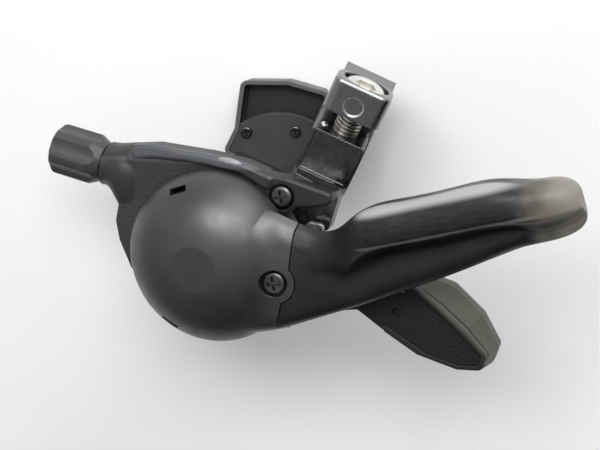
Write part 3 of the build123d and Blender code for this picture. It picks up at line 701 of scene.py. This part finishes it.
# %% Hand out the finishes
slot_finish = {
    "body_plastic": body_plastic,
    "cap_plastic": cap_plastic,
    "lever_plastic": lever_plastic,
    "release_plastic": release_plastic,
    "case_plastic": case_plastic,
    "cover_plastic": cover_plastic,
    "knob_plastic": knob_plastic,
    "drum_plastic": drum_plastic,
    "plug_rubber": plug_rubber,
    "clamp_paint": clamp_paint,
    "dial_face": dial_face,
    "needle_paint": needle_paint,
    "bolt_steel": bolt_steel,
    "plate_steel": plate_steel,
    "pin_steel": pin_steel,
    "spring_steel": spring_steel,
    "stem_metal": stem_metal,
    "window_clear": window_clear,
}
black_screws = ("bracket_screw", "lever_cap_screw", "indicator_screws")
slot_of = {row["node"]: row["material_slot"] for row in frame["record"]["subparts"]}
for name, node in nodes.items():
    node.data.materials.clear()
    node.data.materials.append(screw_black if name in black_screws else slot_finish[slot_of[name]])
print("finished nodes:", len(nodes))

# %% [markdown]
# ## Helpers for Geometry Nodes
# What repeats or follows a path is made by a node tree with named sizes. The helpers start a tree, close it
# with real geometry and a finish, and run it on an empty mesh. The result is kept as a plain mesh, because
# the export takes no live instances, and the piece then rides on the pod.

# %% Write the tree helpers


def new_tree(name, sizes):
    """Geometry node group with float inputs and one geometry output."""
    tree = bpy.data.node_groups.new(name, "GeometryNodeTree")
    for label in sizes:
        tree.interface.new_socket(label, in_out="INPUT", socket_type="NodeSocketFloat")
    tree.interface.new_socket("Geometry", in_out="OUTPUT", socket_type="NodeSocketGeometry")
    return tree


def close_tree(tree, geometry, material):
    """Ends a tree in real geometry that carries its finish."""
    add, link = tree.nodes.new, tree.links.new
    whole = add("GeometryNodeRealizeInstances")
    coat = add("GeometryNodeSetMaterial")
    coat.inputs["Material"].default_value = material
    link(geometry, whole.inputs["Geometry"])
    link(whole.outputs["Geometry"], coat.inputs["Geometry"])
    link(coat.outputs["Geometry"], add("NodeGroupOutput").inputs["Geometry"])


def evaluated_mesh(thing):
    """Plain mesh of an object as its modifiers or its text shape it."""
    bpy.context.view_layer.update()
    evaluated = thing.evaluated_get(bpy.context.evaluated_depsgraph_get())
    return bpy.data.meshes.new_from_object(evaluated)


def run_tree(tree, values):
    """Plain mesh that a tree makes with the given sizes."""
    holder = bpy.data.objects.new("maker", bpy.data.meshes.new("maker"))
    scene.collection.objects.link(holder)
    modifier = holder.modifiers.new("nodes", "NODES")
    modifier.node_group = tree
    for item in tree.interface.items_tree:
        if item.name in values:
            modifier[item.identifier] = values[item.name]
    mesh = evaluated_mesh(holder)
    holder.modifiers.clear()
    bpy.data.objects.remove(holder)
    return mesh


def add_piece(name, mesh, material):
    """Visible piece that rides on the pod."""
    mesh.name = name
    mesh.materials.clear()
    mesh.materials.append(material)
    piece = bpy.data.objects.new(name, mesh)
    scene.collection.objects.link(piece)
    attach(piece, "pod")
    return piece


print("tree helpers ready")

# %% [markdown]
# ## Thread of the clamp bolt
# Between the ears the bolt's thread shows. A stack of rings would look close, but a real thread is one
# profile that follows a helix. So the tree sweeps a small profile along a spiral curve, and the mesh is laid
# on the bolt's axis.

# %% Build the thread tree


def thread_tree(material):
    """Helical ridge: Radius, Turns, Height and Ridge size."""
    tree = new_tree("thread_tree", ("Radius", "Turns", "Height", "Ridge"))
    add, link = tree.nodes.new, tree.links.new
    sizes = add("NodeGroupInput")
    helix = add("GeometryNodeCurveSpiral")
    helix.inputs["Resolution"].default_value = 40
    link(sizes.outputs["Radius"], helix.inputs["Start Radius"])
    link(sizes.outputs["Radius"], helix.inputs["End Radius"])
    link(sizes.outputs["Turns"], helix.inputs["Rotations"])
    link(sizes.outputs["Height"], helix.inputs["Height"])
    profile = add("GeometryNodeCurvePrimitiveCircle")
    profile.inputs["Resolution"].default_value = 6
    link(sizes.outputs["Ridge"], profile.inputs["Radius"])
    sweep = add("GeometryNodeCurveToMesh")
    sweep.inputs["Fill Caps"].default_value = True
    link(helix.outputs["Curve"], sweep.inputs["Curve"])
    link(profile.outputs["Curve"], sweep.inputs["Profile Curve"])
    close_tree(tree, sweep.outputs["Mesh"], material)
    return tree


bolt_tree = thread_tree(thread_steel)
print("thread tree nodes:", len(bolt_tree.nodes))

# %% [markdown]
# ## The thread in its place
# The thread fills the gap between the ears, less a little at each end. Its radius is a touch under the
# shank's, so the ridge is rooted in the steel and no slit shows. The tree builds it upright, and one turn
# about X lays it along the bolt.

# %% Lay the thread on the bolt
BOLT_OFFSET = 14.3 * MM
BOLT_RADIUS = 2.5 * MM
GAP_LOW = 6.9 * MM
GAP_HIGH = 12.0 * MM
THREAD_INSET = 0.35 * MM
THREAD_SINK = 0.06 * MM
PITCH = 0.8 * MM

thread_height = GAP_HIGH - GAP_LOW - 2 * THREAD_INSET
thread_sizes = {
    "Radius": BOLT_RADIUS - THREAD_SINK,
    "Turns": thread_height / PITCH,
    "Height": thread_height,
    "Ridge": 0.28 * MM,
}
thread_foot = Matrix.Translation((0, GAP_LOW + THREAD_INSET, BOLT_OFFSET))
thread_mesh = run_tree(bolt_tree, thread_sizes)
thread_mesh.transform(clamp_frame @ thread_foot @ Matrix.Rotation(-math.pi / 2, 4, "X"))
bolt_thread = add_piece("bolt_thread", thread_mesh, thread_steel)
print("thread faces:", len(bolt_thread.data.polygons))

# %% [markdown]
# ## Ticks of the dial
# The dial behind the window has a tick for each gear. The ticks stand at equal angles around the needle's
# pivot, which is a job for Geometry Nodes: points on an arc, one small box on each, turned to face outward.

# %% Build the tick tree
GEARS = 9
INK_DEPTH = 0.05 * MM
TICK_WIDTH = 0.16 * MM


def tick_tree(material):
    """Boxes on an arc: Radius, First, Step and Length."""
    tree = new_tree("tick_tree", ("Radius", "First", "Step", "Length"))
    add, link = tree.nodes.new, tree.links.new
    sizes = add("NodeGroupInput")
    angle = add("ShaderNodeMath")
    angle.operation = "MULTIPLY_ADD"
    link(add("GeometryNodeInputIndex").outputs["Index"], angle.inputs[0])
    link(sizes.outputs["Step"], angle.inputs[1])
    link(sizes.outputs["First"], angle.inputs[2])
    outward = add("ShaderNodeCombineXYZ")
    link(sizes.outputs["Radius"], outward.inputs["X"])
    swing = add("ShaderNodeVectorRotate")
    swing.rotation_type = "Z_AXIS"
    link(outward.outputs["Vector"], swing.inputs["Vector"])
    link(angle.outputs["Value"], swing.inputs["Angle"])
    points = add("GeometryNodePoints")
    points.inputs["Count"].default_value = GEARS
    link(swing.outputs["Vector"], points.inputs["Position"])
    box_size = add("ShaderNodeCombineXYZ")
    box_size.inputs["Y"].default_value = TICK_WIDTH
    box_size.inputs["Z"].default_value = INK_DEPTH
    link(sizes.outputs["Length"], box_size.inputs["X"])
    box = add("GeometryNodeMeshCube")
    link(box_size.outputs["Vector"], box.inputs["Size"])
    facing = add("ShaderNodeCombineXYZ")
    link(angle.outputs["Value"], facing.inputs["Z"])
    copies = add("GeometryNodeInstanceOnPoints")
    link(points.outputs[0], copies.inputs["Points"])
    link(box.outputs["Mesh"], copies.inputs["Instance"])
    link(facing.outputs["Vector"], copies.inputs["Rotation"])
    close_tree(tree, copies.outputs["Instances"], material)
    return tree


dial_ink = plastic("dial_ink", (0.015, 0.015, 0.016), (0.025, 0.025, 0.026), 0.5)
arc_tree = tick_tree(dial_ink)
print("tick tree nodes:", len(arc_tree.nodes))

# %% [markdown]
# ## The ticks in their place
# The first tick stands where the needle points at rest, and the step is the angle that the needle swings for
# one gear. So the needle meets a tick in every gear.

# %% Lay the ticks on the dial
NEEDLE_PIVOT = (-11.0 * MM, -17.0 * MM)
DIAL_LEVEL = -16.2 * MM
FIRST_ANGLE = math.radians(160.0)
GEAR_STEP = math.radians(-7.2)

tick_sizes = {"Radius": 6.2 * MM, "First": FIRST_ANGLE, "Step": GEAR_STEP, "Length": 1.2 * MM}
tick_mesh = run_tree(arc_tree, tick_sizes)
tick_mesh.transform(Matrix.Translation((*NEEDLE_PIVOT, DIAL_LEVEL)))
dial_ticks = add_piece("dial_ticks", tick_mesh, dial_ink)
print("ticks:", len(dial_ticks.data.polygons) // 6)

# %% [markdown]
# ## Numbers of the dial
# Each tick has its gear's number. A picture would blur up close, so the numbers are text turned into meshes.
# Each is turned over to be read from the window's side, and all of them become one piece.

# %% Write the numbers on the dial
NUMBER_RADIUS = 8.0 * MM
NUMBER_HEIGHT = 1.0 * MM


def gear_number(gear):
    """Mesh of one number in its place on the dial."""
    text = bpy.data.curves.new("gear_number", "FONT")
    text.body = str(gear + 1)
    text.size = NUMBER_HEIGHT
    text.extrude = INK_DEPTH / 2
    text.align_x = "CENTER"
    text.align_y = "CENTER"
    writer = bpy.data.objects.new("gear_number", text)
    scene.collection.objects.link(writer)
    mesh = evaluated_mesh(writer)
    bpy.data.objects.remove(writer)
    angle = FIRST_ANGLE + gear * GEAR_STEP
    x = NEEDLE_PIVOT[0] + NUMBER_RADIUS * math.cos(angle)
    y = NEEDLE_PIVOT[1] + NUMBER_RADIUS * math.sin(angle)
    mesh.transform(Matrix.Translation((x, y, DIAL_LEVEL)) @ Matrix.Rotation(math.pi, 4, "Y"))
    return mesh


all_numbers = bmesh.new()
for gear in range(GEARS):
    number_mesh = gear_number(gear)
    all_numbers.from_mesh(number_mesh)
    bpy.data.meshes.remove(number_mesh)
numbers_mesh = bpy.data.meshes.new("dial_numbers")
all_numbers.to_mesh(numbers_mesh)
all_numbers.free()
dial_numbers = add_piece("dial_numbers", numbers_mesh, dial_ink)
print("number faces:", len(dial_numbers.data.polygons))

# %% [markdown]
# ## Small raised marks
# A polished bead stands on the outer side of the ridge, and a bright stud shows beside the bolt on the lower
# ear. The bead is coloured pale grey as a painted highlight, where the black ridge around it is dark. Both
# could be cut from cylinders with rounded ends, but they are so small that a sphere squashed to three sizes,
# half sunk in what carries it, gives the same gleam.

# %% Add the bead and the stud


def bead_mesh(frame_matrix, place, turned, sizes):
    """Sphere squashed to its sizes and set in its place."""
    ball = bmesh.new()
    bmesh.ops.create_uvsphere(ball, u_segments=32, v_segments=16, radius=1.0)
    spot = frame_matrix @ Matrix.Translation(place) @ Matrix.Rotation(turned, 4, "Z")
    bmesh.ops.transform(ball, matrix=spot @ Matrix.Diagonal((*sizes, 1.0)), verts=ball.verts)
    mesh = bpy.data.meshes.new("bead")
    ball.to_mesh(mesh)
    ball.free()
    mesh.polygons.foreach_set("use_smooth", [True] * len(mesh.polygons))
    return mesh


# Painted highlight: the bead's pale grey colour stands in for the gleam on the black ridge.
bead_painted_highlight = plastic("bead_painted_highlight", (0.22, 0.225, 0.235), (0.28, 0.285, 0.295), 0.22)
ridge_mesh = bead_mesh(
    pod_frame, place=(-4.8 * MM, 19.7 * MM, -1.15 * MM), turned=math.radians(15.0),
    sizes=(2.6 * MM, 0.75 * MM, 0.7 * MM),
)
stud_mesh = bead_mesh(
    clamp_frame, place=(-4.3 * MM, 6.9 * MM, 16.0 * MM), turned=0.0,
    sizes=(0.75 * MM, 0.55 * MM, 0.75 * MM),
)
ridge_bead = add_piece("ridge_bead", ridge_mesh, bead_painted_highlight)
ear_stud = add_piece("ear_stud", stud_mesh, bolt_steel)
print("beads:", ridge_bead.name, ear_stud.name)
